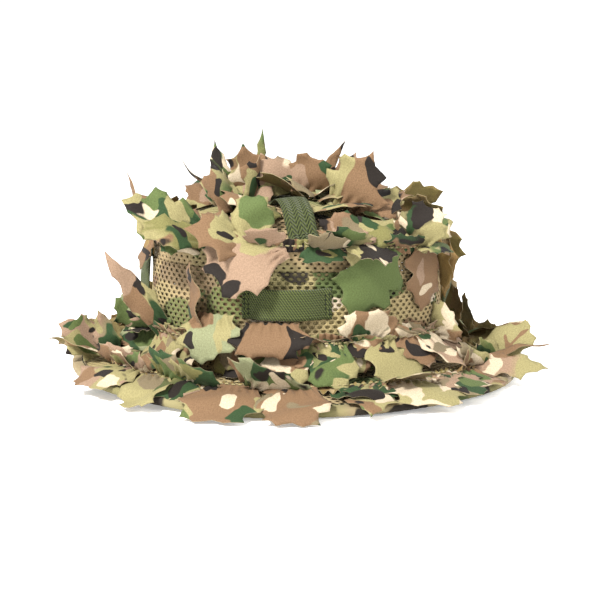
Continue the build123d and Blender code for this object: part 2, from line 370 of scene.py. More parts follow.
def thread(name, colour):
    n = Nodes(name, 0.6, 0.05)
    twist = n.wave(n.split(n.uv())[0], 0.0009)
    # painted shade: the twist's grooves are painted darker than its ridges
    dark = (*(0.45 * v for v in colour[:3]), 1)
    return n.finish(n.mix(n.math("MULTIPLY_ADD", twist, 0.3, 0.5), dark, colour), twist, 0.5, 0.0002)


# ---------------------------------------------------------------- perforated mesh

PITCH_X, PITCH_Y = 5.3, 2.8
HOLE_X, HOLE_Y = 1.62, 1.13
MESH_THICK = 0.7
# a cell's 6 corners, its 8 hole points, and the triangles between them (corners 0 to 5, hole points 6 to 13)
CORNERS = [(-1, -1), (0, -1), (1, -1), (1, 1), (0, 1), (-1, 1)]
HOLE = [(math.cos(math.radians(22.5 + 45 * k)), math.sin(math.radians(22.5 + 45 * k))) for k in range(8)]
PATTERN = [(3, 7, 6), (3, 4, 7), (4, 8, 7), (4, 5, 8), (5, 9, 8), (5, 10, 9), (5, 0, 10),
           (0, 11, 10), (0, 1, 11), (1, 12, 11), (1, 2, 12), (2, 13, 12), (2, 6, 13), (2, 3, 6)]


def cell_centre(i, j):
    return (i + 0.5 * (j % 2)) * PITCH_X, j * PITCH_Y


def perforated(name, cells, surface, materials, solid=lambda x, y: False, hole=(HOLE_X, HOLE_Y), back=0):
    """A sheet of staggered cells (column, row), each with a hole. surface maps flat mm to points."""
    flat, faces, index = [], [], {}
    for i, j in cells:
        cx, cy = cell_centre(i, j)
        ids = []
        for dx, dy in CORNERS:
            key = (2 * i + j % 2 + dx, 2 * j + dy)
            if key not in index:
                index[key] = len(flat)
                flat.append((cx + dx * PITCH_X / 2, cy + dy * PITCH_Y / 2))
            ids.append(index[key])
        if solid(cx, cy):
            faces.append(ids)
            continue
        ids.extend(range(len(flat), len(flat) + len(HOLE)))
        flat.extend((cx + hole[0] * x, cy + hole[1] * y) for x, y in HOLE)
        faces.extend((ids[a], ids[b], ids[c]) for a, b, c in PATTERN)
    flat = np.array(flat)
    obj = make_object(name, surface(flat[:, 0], flat[:, 1]), faces, flat, materials)
    thicken(obj, MESH_THICK, back=back)
    return obj


ARC_TURNS = np.linspace(0, math.tau, 721)
ARC_STEPS = np.hypot(np.diff(BASE_A * np.cos(ARC_TURNS)), np.diff(BASE_B * np.sin(ARC_TURNS)))
ARC = np.concatenate([[0], np.cumsum(ARC_STEPS)])
PERIMETER = ARC[-1]


def angle_at(length):
    """Bearing, in radians, at a length along the foot oval from the front."""
    return np.interp(np.asarray(length) % PERIMETER, ARC, ARC_TURNS)


def length_at(bearing_deg):
    return float(np.interp(math.radians(bearing_deg) % math.tau, ARC_TURNS, ARC))


def wall_sheet(name, side, z0, z1, out, materials, shift=0.0, **more):
    """One half of a ring of perforated mesh on the wall. side is +1 for the wearer's left."""
    half = round(PERIMETER / 2 / PITCH_X)
    rows = round((z1 - z0) / PITCH_Y)
    first = 0 if side > 0 else half

    def surface(x, y):
        angle = angle_at((x + shift) / (2 * half * PITCH_X) * PERIMETER)
        z = z0 + (y + PITCH_Y / 2) * (z1 - z0) / (rows * PITCH_Y)
        off = wall_off(z) + out + 0.25 * np.sin(9 * angle + 0.11 * z) + 0.2 * np.sin(23 * angle - 0.2 * z)
        return np.stack([(BASE_A + off) * np.cos(angle), (BASE_B + off) * np.sin(angle), z], 1)

    cells = [(i, j) for j in range(rows) for i in range(first, first + half)]
    obj = perforated(name, cells, surface, materials, **more)
    return obj


# ---------------------------------------------------------------- tapes and threads

def around(count, ring_at):
    """Rings of points round the hat, and their uv. ring_at(s, share, angle) gives each point's (off, z, uv)."""
    rings, uv = [], []
    for i in range(count):
        s = PERIMETER * i / count
        angle = float(angle_at(s))
        ring = ring_at(s, i / count, angle)
        rings.append([on_oval(angle, off, z) for off, z, _ in ring])
        uv.extend(place for _, _, place in ring)
    return rings, uv


def swept(name, rings, uv, material, closed=True):
    """A tube through rings of points, with ends where it isn't closed."""
    count, size = len(rings), len(rings[0])
    faces = []
    for i in range(count if closed else count - 1):
        for j in range(size):
            a, b = i * size + j, i * size + (j + 1) % size
            k = (i + 1) % count * size
            faces.append((a, b, k + (j + 1) % size, k + j))
    if not closed:
        faces += [range(size - 1, -1, -1), range((count - 1) * size, count * size)]
    return make_object(name, np.array(rings).reshape(-1, 3), faces, uv, [material])


STITCH_SINK = 0.15
STITCH_SECTIONS = ((0, 0.25, -0.5), (0.12, 0.85, 0.3), (0.5, 1, 0.6), (0.88, 0.85, 0.3), (1, 0.25, -0.5))


def stitches(name, runs, material, length=2.6, gap=1.1, radius=0.42):
    """Rows of stitches, sunk a little, each along a line of points with their normals, in mm."""
    verts, faces, uv = [], [], []
    for points, normals in runs:
        points, normals = np.array(points, float), np.array(normals, float)
        at = np.concatenate([[0], np.cumsum(np.linalg.norm(np.diff(points, axis=0), axis=1))])
        s = gap
        while s + length < at[-1]:
            line = np.array([[np.interp(s + length * t, at, points[:, k]) for k in range(3)]
                             for t, _, _ in STITCH_SECTIONS])
            normal = unit([np.interp(s + length / 2, at, normals[:, k]) for k in range(3)])
            side = np.cross(normal, unit(line[-1] - line[0]))
            start = len(verts)
            for i, (p, (_, size, lift)) in enumerate(zip(line, STITCH_SECTIONS)):
                for k in range(6):
                    a = math.radians(60 * k)
                    up = radius * (lift + size * math.sin(a)) - STITCH_SINK
                    verts.append(p + normal * up + side * radius * size * math.cos(a))
                    uv.append((s + length * i / 4, k))
                    if i:
                        a, b = start + 6 * i + k - 6, start + 6 * i + (k + 1) % 6 - 6
                        faces.append((a, b, b + 6, a + 6))
            s += length + gap
    return make_object(name, verts, faces, uv, [material])


def unit(v):
    v = np.asarray(v, float)
    return v / np.linalg.norm(v)


# ---------------------------------------------------------------- leaves

def pairs(text):
    return [tuple(map(float, pair.split(","))) for pair in text.split()]


# Half outlines as along,across, from the stitched middle to the tip: one side, then the other
SHAPES = {
    "oak": (pairs("0,.46 .1,.4 .24,.5 .37,.48 .44,.32 .56,.4 .69,.42 .74,.24 .87,.2 1,.02"),
            pairs("0,.46 .12,.38 .3,.5 .42,.44 .49,.28 .64,.38 .73,.33 .77,.17 .89,.12")),
    "maple": (pairs("0,.46 .1,.4 .3,.5 .41,.49 .48,.29 .64,.35 .74,.3 .79,.13 1,0"),
              pairs("0,.46 .14,.4 .33,.47 .46,.5 .52,.29 .62,.25 .77,.3 .83,.11")),
    "fan": (pairs("0,.46 .14,.42 .43,.5 .6,.47 .66,.36 .82,.42 .91,.33 .92,.14 1,.09"),
            pairs("0,.46 .16,.4 .38,.49 .55,.5 .64,.38 .79,.44 .93,.34 .89,.14 .99,-.02")),
    "slab": (pairs("0,.46 .18,.43 .48,.5 .7,.45 .76,.31 .95,.34 .99,.12"),
             pairs("0,.46 .22,.41 .42,.49 .6,.5 .72,.37 .9,.4 1,.22 .94,.02")),
    "blade": (pairs("0,.46 .12,.38 .34,.48 .5,.41 .58,.27 .76,.23 1,.01"),
              pairs("0,.46 .16,.4 .4,.5 .52,.34 .7,.25 .84,.12")),
    "spike": (pairs("0,.5 .12,.42 .3,.48 .45,.3 .66,.2 1,.01"),
              pairs("0,.5 .14,.4 .36,.44 .52,.24 .76,.13")),
}
ROOT_PLEATS = 15.0   # how far from the root a leaf has its finest points
WALL_GAP, DOME_GAP, BRIM_GAP = 2.0, 1.2, 1.3   # between a leaf and what it lies on
FLOOR_NEAR = 2.0     # height at which a leaf starts to flatten onto the floor


def outline_mm(shape, length, width, rng):
    """The leaf's cut edge in flat millimetres, a little ragged, counter-clockwise, root edge first."""
    right, left = SHAPES[shape]
    loop = [(length * u, width * v) for u, v in right] + [(length * u, -width * v) for u, v in reversed(left)]
    if rng.random() < 0.5:
        loop = [(u, -v) for u, v in reversed(loop)]
    out = []
    for (u0, v0), (u1, v1) in zip(loop, [*loop[1:], loop[0]]):
        count = max(1, round(math.hypot(u1 - u0, v1 - v0) / 2.0))
        swell = rng.uniform(-0.02, 0.17) if max(u0, u1) > 3 else 0
        for k in range(count):
            t = k / count
            side = swell * math.sin(math.pi * t)
            u = u0 + (u1 - u0) * t + (v1 - v0) * side + (rng.uniform(-0.15, 0.15) if u0 > 3 else 0)
            v = v0 + (v1 - v0) * t - (u1 - u0) * side + rng.uniform(-0.15, 0.15)
            out.append((max(u, 0), v))
    return np.array(out)


def inside(points, polygon):
    """Which points are in the polygon, at least a little way in."""
    x, y = points[:, 0][:, None], points[:, 1][:, None]
    ax, ay = polygon[:, 0], polygon[:, 1]
    bx, by = np.roll(ax, -1), np.roll(ay, -1)
    crosses = ((ay > y) != (by > y)) & (x < (bx - ax) * (y - ay) / (by - ay + 1e-12) + ax)
    length2 = (bx - ax) ** 2 + (by - ay) ** 2 + 1e-12
    t = np.clip(((x - ax) * (bx - ax) + (y - ay) * (by - ay)) / length2, 0, 1)
    away = np.hypot(x - ax - t * (bx - ax), y - ay - t * (by - ay)).min(1)
    return (crosses.sum(1) % 2 == 1) & (away > 0.8)


def flat_leaf(shape, length, width, rng):
    """(points, triangles, area) of one flat leaf, finer near its pleated root."""
    edge = outline_mm(shape, length, width, rng)
    filling = [(u, v) for u in np.arange(2.2, ROOT_PLEATS, 2.6) for v in np.arange(-width / 2, width / 2, 1.5)]
    filling += [(u, v + (1.7 if k % 2 else 0)) for k, u in enumerate(np.arange(ROOT_PLEATS + 1, length, 3.0))
                for v in np.arange(-width / 2, width / 2, 3.4)]
    filling = np.array(filling)
    at_root = edge[edge[:, 0] < 0.01][:, 1]
    root = [(0.0, v) for v in np.arange(at_root.min() + 1.5, at_root.max() - 0.7, 1.5)]
    points = np.concatenate([edge, filling[inside(filling, edge)], np.array(root).reshape(-1, 2)])
    got = delaunay_2d_cdt([tuple(p) for p in points], [], [list(range(len(edge)))], 1, 1e-5)
    flat, triangles = np.array([tuple(v) for v in got[0]]), np.array(got[2])
    a, b, c = (flat[triangles[:, k]] for k in range(3))
    twice = np.abs((b[:, 0] - a[:, 0]) * (c[:, 1] - a[:, 1]) - (b[:, 1] - a[:, 1]) * (c[:, 0] - a[:, 0]))
    return flat, triangles[twice > 1e-6], float(twice.sum() / 2)


def smooth_step(t):
    t = np.clip(t, 0, 1)
    return t * t * (3 - 2 * t)


def bend_leaf(flat, length, width, root, chord, face, curl, cup, twist, gather, rng):
    """Flat leaf points to 3D: pleated at the root, then curled along, cupped across and twisted.

    chord is the direction from root to tip and face roughly the way its front looks. Angles in degrees, in total.
    """
    u, v = flat[:, 0], flat[:, 1]
    c = unit(chord)
    n = unit(np.asarray(face, float) - np.dot(face, c) * c)
    half = math.radians(curl) / 2
    along, normal = math.cos(half) * c + math.sin(half) * n, math.cos(half) * n - math.sin(half) * c
    across = np.cross(normal, along)

    # pleats, deepest at the root
    squeeze = gather + (1 - gather) * smooth_step(u / (0.54 * length))
    wave = rng.uniform(7.0, 9.5)
    phase, drift = rng.uniform(0, 6.28), rng.uniform(-0.25, 0.25)
    depth = 1.55 * np.sqrt(1 / squeeze**2 - 1) * wave * squeeze / math.tau
    fade = 1 - smooth_step(u / (0.58 * length))
    pleat = depth * np.sin(math.tau * (v + drift * u) / wave + phase)
    pleat = pleat * (0.15 + 0.85 * fade) * (0.35 + 0.65 * smooth_step(u / 6))
    x = v * squeeze

    # cup across, and ripples that grow towards the tip and sides
    turn = math.radians(cup) / width
    bowl = 0 * x
    if abs(turn) > 1e-6:
        bowl, x = (1 - np.cos(turn * x)) / turn, np.sin(turn * x) / turn
    reach = smooth_step(u / length * 1.6)
    high, period, tilt = rng.uniform(0.7, 1.9), rng.uniform(24, 40), rng.uniform(2, 5)
    ripple = high * reach * np.sin(math.tau * u / period + tilt * v / width + phase)
    high, period = rng.uniform(0.6, 2.2), rng.uniform(16, 26)
    ripple += high * reach * (2 * v / width) ** 2 * np.sin(math.tau * u / period + 2 * phase)
    y = pleat - bowl + ripple

    tau = math.radians(twist) * (u / length) ** 1.3
    x, y = x * np.cos(tau) - y * np.sin(tau), x * np.sin(tau) + y * np.cos(tau)

    # curl along
    table = np.linspace(0, max(u.max(), 1), 60)
    theta = math.radians(curl) * (table / length)
    middle = (theta[1:] + theta[:-1]) / 2
    go = np.concatenate([[0], np.cumsum(np.cos(middle)) * table[1]])
    drop = np.concatenate([[0], np.cumsum(np.sin(middle)) * table[1]])
    th, cx, cy = (np.interp(u, table, values)[:, None] for values in (theta, go, drop))
    lifted = np.cos(th) * normal + np.sin(th) * along
    return root + cx * along - cy * normal + x[:, None] * across + y[:, None] * lifted


def keep_clear(p, lay):
    """Points that would be in the crown, brim or floor are laid on them, lay millimetres further out."""
    p = p.copy()
    x, y, z = p[:, 0], p[:, 1], p[:, 2]
    out, room = wall_off(np.clip(z, BRIM_IN_Z, TOP_Z)), WALL_GAP + lay
    rho = np.hypot(x / (BASE_A + out + room), y / (BASE_B + out + room))
    in_wall = (rho < 1) & (rho > 0.6) & (z < TOP_Z - 1.5)
    p[:, :2] *= np.where(in_wall, 1 / np.maximum(rho, 0.3), 1)[:, None]
    over_dome = (np.hypot(x / TOP_A, y / TOP_B) < 1.0) & (z > TOP_Z - 1.5)
    z[:] = np.where(over_dome, np.maximum(z, dome_z(x, y) + DOME_GAP + lay), z)
    off = brim_off(x, y)
    on_brim = (np.hypot(x / BASE_A, y / BASE_B) > 1) & (off < BRIM_W + 0.5)
    z[:] = np.where(on_brim, np.maximum(z, brim_z(off) + BRIM_GAP + 0.6 * lay), z)
    z[:] = np.where(z < FLOOR_NEAR, 0.5 + 1.5 * np.exp(np.minimum(z - FLOOR_NEAR, 0) / 1.5), z)
    return p


# ---------------------------------------------------------------- gathered strips

LEAF_THICK = 0.27
WIDENED = 1.15       # how much wider a leaf is cut than its table says, for its pleats
TUCKED = 2.0         # how far its root goes under the stitches
CLOTH_SIZE = 3000    # each leaf is cut somewhere in this much cloth
ROWS, MIDDLE = 7, 4.5   # points across a strip's gathered middle, and its half width
STEP = 0.9           # from one row of those points to the next
PRINT_RUN = 22       # rows with the same print
BASE_ROW_Z = 37.0    # height of the stitches round the foot of the wall
ROW_LIFT = 1.8       # height of the stitches over the dome
ARC_A, ARC_B = 50, 41.4   # oval of the two arcs on the dome
ARC_HALF = 56        # their reach to each side, in degrees
CENTRE_HALF = 34     # the dome's middle strip, from its middle to its end
RANDOM_GROUNDS = ["kt", "tk", "kk", "ko", "tt", "gg", "bb", "bt", "og", "kp", "rk", "gp", "bk", "tc"]


def path_point(strip, bearing):
    """(point, outward) on the stitched middle of a level strip, at a bearing in degrees."""
    angle = float(angle_at(length_at(bearing)))
    if strip == "brim":
        off, z = BRIM_W / 2, brim_z(BRIM_W / 2) + 2.0
    else:
        z, out = (BASE_ROW_Z, 3.2) if strip == "base" else (TOP_Z - 0.5, 1.8)
        off = wall_off(z) + out
    outward = unit((math.cos(angle) / (BASE_A + off), math.sin(angle) / (BASE_B + off), 0))
    return np.array(on_oval(angle, off, z)), outward


def upper_face(out, rise):
    """The way a leaf's front looks: up, or inwards where the leaf rises steeply."""
    face = np.array([0, 0, math.cos(rise)]) - out * math.sin(rise)
    return -face if rise > math.radians(32) else face


def gathered(sections, rise):
    """Points, triangles and uv of a pleated middle. Each section is (s, point, across, half width, up, pleat)."""
    points, faces, uv = [], [], []
    for i, (s, point, across, reach, up, pleat) in enumerate(sections):
        for j in range(ROWS):
            w = 2 * j / (ROWS - 1) - 1
            height = 1.5 * abs(w) ** 0.8 * pleat * (1 if w > 0 else -0.9) + rise * abs(w)
            points.append(point + across * w * reach + up * height)
            uv.append((1.6 * s, w * MIDDLE))
            if i and j:
                a = (i - 1) * ROWS + j - 1
                faces += [(a, a + ROWS, a + ROWS + 1), (a, a + ROWS + 1, a + 1)]
    return np.array(points), np.array(faces), np.array(uv)


class Strip:
    """The leaves of one strip, gathered into one mesh."""

    def __init__(self, name, seed):
        self.name, self.rng = name, random.Random(seed)
        self.verts, self.faces, self.uv, self.area, self.count = [], [], [], 0.0, 0
        self.paint = {}

    def add(self, points, triangles, uv, area, ground, blobs, quiet=False):
        self.faces.append(triangles + self.count)
        self.verts.append(points)
        self.uv.append(uv)
        self.area += area
        self.count += len(points)

        def fill(key, value):
            self.paint.setdefault(key, []).append(np.tile(np.array(value, float), (len(points), 1)))

        fill("ground_a", CLOTH[ground[0]])
        fill("ground_b", CLOTH[ground[1]])
        busy = 0.0 if quiet or len(set(ground)) == 1 else 1.0
        fill("patch", (*CLOTH[ground[2:] or self.rng.choice("kogbt")][:3], busy))
        for k in range(BLOBS):
            where, letter = blobs[k] if k < len(blobs) else ((9, 9, 0.001, 0.001), "k")
            fill(f"blob_{k}", where)
            fill(f"ink_{k}", CLOTH[letter])

    def leaf(self, root, chord, face, length, width, shape, ground, blobs, curl, cup=20, twist=0, gather=0.62, lay=0.0,
             quiet=False):
        """blobs are (along, across, half length, half width, ink), as shares of the leaf's own length and width."""
        width *= WIDENED
        flat, triangles, area = flat_leaf(shape, length, width, self.rng)
        root = np.asarray(root, float) - TUCKED * unit(chord)
        bent = bend_leaf(flat, length, width, root, chord, face, curl, cup, twist, gather, self.rng)
        shift = np.array([self.rng.uniform(0, CLOTH_SIZE), self.rng.uniform(0, CLOTH_SIZE)])
        placed = []
        # dark and cream shapes are drawn smaller than the table says, and the others larger
        for bu, bv, ru, rv, letter in blobs:
            centre = (np.array([bu * length, bv * width]) + shift) / 1000
            size = 0.68 if letter in "dc" else 1.25
            placed.append(((*centre, size * ru * length / 1000, size * rv * width / 1000), letter))
        self.add(keep_clear(bent, lay), triangles, flat + shift, area, ground, placed, quiet)

    def random_print(self):
        rng = self.rng
        ground = rng.choice(RANDOM_GROUNDS)
        inks = [i for i in "gddcbtkGcbr" if i not in ground]
        return ground, [(rng.uniform(0.1, 1.0), rng.uniform(-0.45, 0.45), rng.uniform(0.10, 0.30),
                         rng.uniform(0.10, 0.30), rng.choice(inks)) for _ in range(rng.choice([2, 3, 3, 4]))]

    def random_leaf(self, strip, bearing, lift, length, width, lean):
        """A leaf on a level strip. lift is 0 straight out, 90 up and -90 down, in degrees."""
        rng = self.rng
        root, out = path_point(strip, bearing)
        side = np.array([-out[1], out[0], 0])
        a, b = math.radians(lift), math.radians(lean)
        chord = (out * math.cos(a) + UP * math.sin(a)) * math.cos(b) + side * math.sin(b)
        face = upper_face(out, a)
        face = face + np.array([rng.uniform(-0.35, 0.35), rng.uniform(-0.35, 0.35), rng.uniform(-0.1, 0.3)])
        if abs(out[0]) > 0.8:
            face = face + np.array([0, math.copysign(0.6, out[1]), 0])
        ground, blobs = self.random_print()
        self.leaf(root, chord, face, length, width, rng.choice(["oak", "maple", "fan", "slab", "oak"]), ground, blobs,
                  rng.uniform(0, 45), rng.uniform(-40, 60), rng.uniform(-35, 35), rng.uniform(0.5, 0.7),
                  rng.uniform(0, 2.5))

    def placed_leaf(self, root, out, spec):
        """A leaf from a table, with its root here."""
        _, chord, width, shape, ground, blobs, how = spec
        how = {"offset": (0, 0, 0), "face": None, **how}
        root = root + np.array(how.pop("offset"), float)
        half = math.radians(how["curl"]) / 2
        rise = math.atan2(chord[2], float(np.dot(chord, out)))
        length = float(np.linalg.norm(chord)) * half / math.sin(half)
        self.leaf(root, chord, how.pop("face") or upper_face(out, rise), length, width, shape, ground, blobs, **how)

    def level_middle(self, strip, first, last):
        """The gathered middle between and under the leaves, printed in short stretches."""
        s0, s1 = length_at(first), length_at(last)
        count = int((s1 - s0) / STEP)
        phase = self.rng.uniform(0, 6)
        sections = []
        for i in range(count + 1):
            s = s0 + (s1 - s0) * i / count
            p, out = path_point(strip, math.degrees(float(angle_at(s))))
            across, up = (out * 0.97 - UP * 0.22, UP) if strip == "brim" else (UP, out)
            reach = MIDDLE * (1 + 0.25 * math.sin(s / 9.0) + 0.15 * math.sin(s / 3.7 + 1))
            pleat = math.sin(math.tau * s / 4.6 + phase + 0.9 * math.sin(s / 11.0))
            sections.append((s, p, across, reach, up, pleat))
        points, faces, uv = gathered(sections, 0.9)
        points = keep_clear(points, -1.2)
        per_step = 2 * (ROWS - 1)
        for start in range(0, count, PRINT_RUN):
            stop = min(start + PRINT_RUN, count)
            ids = slice(start * ROWS, (stop + 1) * ROWS)
            ground, blobs = self.random_print()
            local = uv[ids]
            length, width, left = np.ptp(local[:, 0]), 2 * MIDDLE, local[:, 0].min() / 1000
            placed = [((left + bu * length / 1000, bv * width / 1000, 0.5 * ru * length / 1000, 2 * rv * width / 1000),
                       letter) for bu, bv, ru, rv, letter in blobs]
            run = faces[start * per_step:stop * per_step] - start * ROWS
            self.add(points[ids], run, local, length * width, ground, placed)

    def dome_middle(self, points):
        """The gathered middle of a strip along points on the dome."""
        at = np.concatenate([[0], np.cumsum(np.linalg.norm(np.diff(points, axis=0), axis=1))])

        def on_line(s):
            return np.array([np.interp(s, at, points[:, k]) for k in range(3)])

        count = int(at[-1] / STEP)
        sections = []
        for i in range(count + 1):
            s = at[-1] * i / count
            side = unit(np.cross((0, 0, 1), unit(on_line(min(s + 1, at[-1])) - on_line(max(s - 1, 0)))))
            pleat = math.sin(math.tau * s / 4.6 + 0.9 * math.sin(s / 11))
            sections.append((s, on_line(s), side, MIDDLE, UP, pleat))
        verts, faces, uv = gathered(sections, 1.6)
        ground, _ = self.random_print()
        self.add(keep_clear(verts, 0), faces, uv, float(np.ptp(uv[:, 0]) * 2 * MIDDLE), ground, [])

    def build(self, node):
        obj = make_object(self.name, *map(np.concatenate, (self.verts, self.faces, self.uv)), LEAF_MATERIALS)
        for key, values in self.paint.items():
            layer = obj.data.attributes.new(key, "FLOAT_COLOR", "POINT")
            layer.data.foreach_set("color", np.concatenate(values).astype(np.float32).ravel())
        thicken(obj, LEAF_THICK, back=1, rim=2)
        settle(obj, "leaf_cloth", node)


# ---------------------------------------------------------------- materials of this hat

LEAF_MATERIALS = [leaf_material("leaf_front"),
                  leaf_material("leaf_back", mustard=0.62, tint=(0.92, 0.90, 0.84), roughness=0.8),
                  plain_cloth("leaf_rim", ((184, 168, 134), (168, 150, 116), (150, 134, 100)))]

# the wearer's right: quarters of the way round the wall, up from its foot, half sizes, ink
# the darker green spots from 2.40 to 2.66 quarters are camouflage print and also painted shade on that stretch of the
# wall
WALL_SPOTS = [
    (2.48, 58, 34, 9, (146, 124, 94)), (2.52, 24, 22, 10, (112, 118, 72)), (2.40, 30, 15, 13, (118, 122, 74)),
    (2.66, 40, 16, 12, (120, 126, 76)), (2.72, 58, 15, 7, "g"), (2.86, 34, 12, 7, "c"), (2.83, 14, 18, 6, "g"),
    (2.97, 62, 11, 6, "d"), (3.06, 16, 16, 6, "b"), (3.14, 44, 9, 6, "c"), (3.10, 66, 8, 5, "g"),
    (3.30, 24, 20, 9, (132, 140, 92)), (3.42, 52, 15, 9, "g"), (3.55, 20, 16, 8, "b"), (3.66, 46, 13, 8, "c"),
]
MESH_WALL = mesh_cloth("mesh_wall", [(q * (PERIMETER / 4), *rest) for q, *rest in WALL_SPOTS])
# painted shade: dim darkens the inner wall layer a little on its outer face behind the outer mesh, and much more
# (0.40) on its inside face, which is seen through the holes
MESH_INNER = mesh_cloth("mesh_inner", dim=0.95)
MESH_INSIDE = mesh_cloth("mesh_inside", dim=0.40)
MESH_DOME = mesh_cloth("mesh_dome")
MESH_BRIM = mesh_cloth("mesh_brim", dim=0.92)
UNDER = plain_cloth("under_brim_cloth", ("k", "o", (168, 150, 108)),
                    [(26.0, 0.62, "g"), (30.0, 0.66, "d"), (28.0, 0.68, "b")])
STIFF = plain_cloth("stiffener_cloth", ((70, 66, 48), (62, 58, 42), (78, 72, 52)), period=0.0014)
SWEAT = plain_cloth("sweatband_cloth", ((96, 100, 68), (88, 92, 62), (102, 104, 74)), period=0.0012)
TAPE = plain_cloth("seam_tape", ((120, 118, 84), (112, 108, 76), (128, 124, 90)), period=0.0012)
BINDING = plain_cloth("binding_tape", ((170, 152, 116), (186, 172, 130), (146, 140, 92)),
                      [(30.0, 0.60, "g"), (38.0, 0.64, "d"), (32.0, 0.66, "c")], period=0.0010)
# the top loops' webbing is dimmed further (shade 0.52 against the usual 0.70) as painted shade on their well-lit tops
HERRINGBONE = webbing_cloth("webbing_herringbone", 0.8, 0.0033, 0.0021, 0.52)
TWILL = webbing_cloth("webbing_twill", 1.5)
KHAKI_THREAD = thread("khaki_thread", linear(196, 182, 132))
GREEN_THREAD = thread("green_thread", linear(40, 48, 28))


# ---------------------------------------------------------------- crown

SIDES = ((-1, "right"), (1, "left"))
for side, word in SIDES:
    inner = wall_sheet(f"crown_wall_mesh_{word}", side, WALL_LOW[2] + 1, WALL_HIGH[2], -0.5, [MESH_INNER, MESH_INSIDE],
                       shift=0.3, hole=(1.1, 0.75), back=1)
    settle(inner, "mesh", f"crown_side_{word}")
    outer = wall_sheet(f"crown_outer_mesh_{word}", side, BAND_LOW[2], BAND_HIGH[2], 0.9, [MESH_WALL])
    settle(outer, "mesh", *(["crown_mesh_band"] if side < 0 else []))


def dome_surface(x, y):
    rho = np.hypot(x / TOP_A, y / TOP_B)
    tuck = np.maximum(rho, 1)
    x, y = x / tuck, y / tuck
    return np.stack([x, y, dome_z(x, y) + 0.3 - 1.2 * np.clip((rho - 0.97) * 20, 0, 1)], 1)


def oval_cells(a, b, hole_a=0.0, hole_b=0.0, side=0):
    """Cells over an oval, or a ring, or its half on one side."""
    out = []
    for j in range(int(-b / PITCH_Y) - 2, int(b / PITCH_Y) + 3):
        for i in range(int(-a / PITCH_X) - 2, int(a / PITCH_X) + 3):
            cx, cy = cell_centre(i, j)
            in_hole = hole_a and math.hypot(cx / hole_a, cy / hole_b) < 1
            if math.hypot(cx / a, cy / b) <= 1 and not in_hole and (not side or (j >= 0) == (side > 0)):
                out.append((i, j))
    return out


dome = perforated("crown_top_mesh", oval_cells(TOP_A + 2, TOP_B + 2), dome_surface, [MESH_DOME],
                  solid=lambda x, y: math.hypot(x / TOP_A, y / TOP_B) > 0.965)
settle(dome, "mesh", "crown_top")


def lining(name, ring_at, inward, thick, material, slot, node, **flat):
    """A plain closed band of cloth round the hat. inward turns its faces over."""
    rings, uv = around(240, ring_at)
    count, rows = len(rings), len(rings[0])
    faces = []
    for i in range(count):
        a, b = i * rows, (i + 1) % count * rows
        for j in range(rows - 1):
            across, along = (a + j, a + j + 1), (b + j, b + j + 1)
            faces.append((across[0], across[1], along[1], along[0]) if inward
                         else (across[0], along[0], along[1], across[1]))
    obj = make_object(name, np.array(rings).reshape(-1, 3), faces, uv, [material])
    thicken(obj, thick)
    settle(obj, slot, node)


def wall_lining(name, z0, z1, out, thick, material, node, ripple=0.0):
    def ring_at(s, share, angle):
        ring = []
        for j in range(6):
            z = z0 + (z1 - z0) * j / 5
            ring.append((wall_off(z) + out + ripple * math.sin(s / 4.1) * math.sin(math.pi * j / 5), z, (s, z)))
        return ring
    lining(name, ring_at, False, thick, material, "lining", node, flat=((z1 - z0) / 1000, PERIMETER / 1000))


wall_lining("inside_sweatband", SWEAT_LOW[2], SWEAT_HIGH[2], -2.6, 1.2, SWEAT, "sweatband", ripple=0.3)
SEAM_TAPE_LOW, SEAM_TAPE_HIGH = 88.9, 99.1
wall_lining("inside_seam_tape", SEAM_TAPE_LOW, SEAM_TAPE_HIGH, -2.2, 0.8, TAPE, "crown_seam_tape")


def seam_ring(s, share, angle):
    """The turned seam where the wall meets the dome."""
    bulge = 1 + 0.12 * math.sin(s * 1.7) + 0.1 * math.sin(s * 0.61)
    turns = [math.tau * k / 10 for k in range(10)]
    return [(wall_off(TOP_Z) - 0.2 + 1.3 * bulge * math.cos(t), TOP_Z - 1.4 + 1.9 * math.sin(t), (s, 0.9 * k))
            for k, t in enumerate(turns)]


seam = settle(swept("crown_edge_seam", *around(300, seam_ring), MESH_WALL), "mesh")


# ---------------------------------------------------------------- brim

MESH_LIFT, STIFF_LIFT, UNDER_LIFT = -0.6, -1.7, -2.6   # the layers' places under the brim's upper face
LEAST_SHARE = 0.301   # least share of its rectangle for a sheet's cut area, worked out below but not used


def brim_surface(x, y):
    rho = np.hypot(x / BASE_A, y / BASE_B)
    grow = np.maximum(1, 1.0 / np.maximum(rho, 0.2))
    x, y = x * grow, y * grow
    reach = np.maximum(np.hypot(x / (BASE_A + BRIM_W - 1.2), y / (BASE_B + BRIM_W - 1.2)), 1)
    x, y = x / reach, y / reach
    return np.stack([x, y, brim_z(brim_off(x, y)) + MESH_LIFT], 1)


def near_brim_edges(x, y):
    inner = math.hypot(x / (BASE_A + 3), y / (BASE_B + 3)) < 1
    outer = math.hypot(x / (BASE_A + BRIM_W - 4), y / (BASE_B + BRIM_W - 4)) > 1
    return inner or outer


brim_half_area = math.pi * (RIM_A * RIM_B - BASE_A * BASE_B) / 2e6
for side, word in SIDES:
    cells = oval_cells(RIM_A, RIM_B, BASE_A - 1, BASE_B - 1, side)
    brim = perforated(f"brim_top_mesh_{word}", cells, brim_surface, [MESH_BRIM], solid=near_brim_edges)
    settle(brim, "mesh", *(["brim_mesh"] if side < 0 else []))


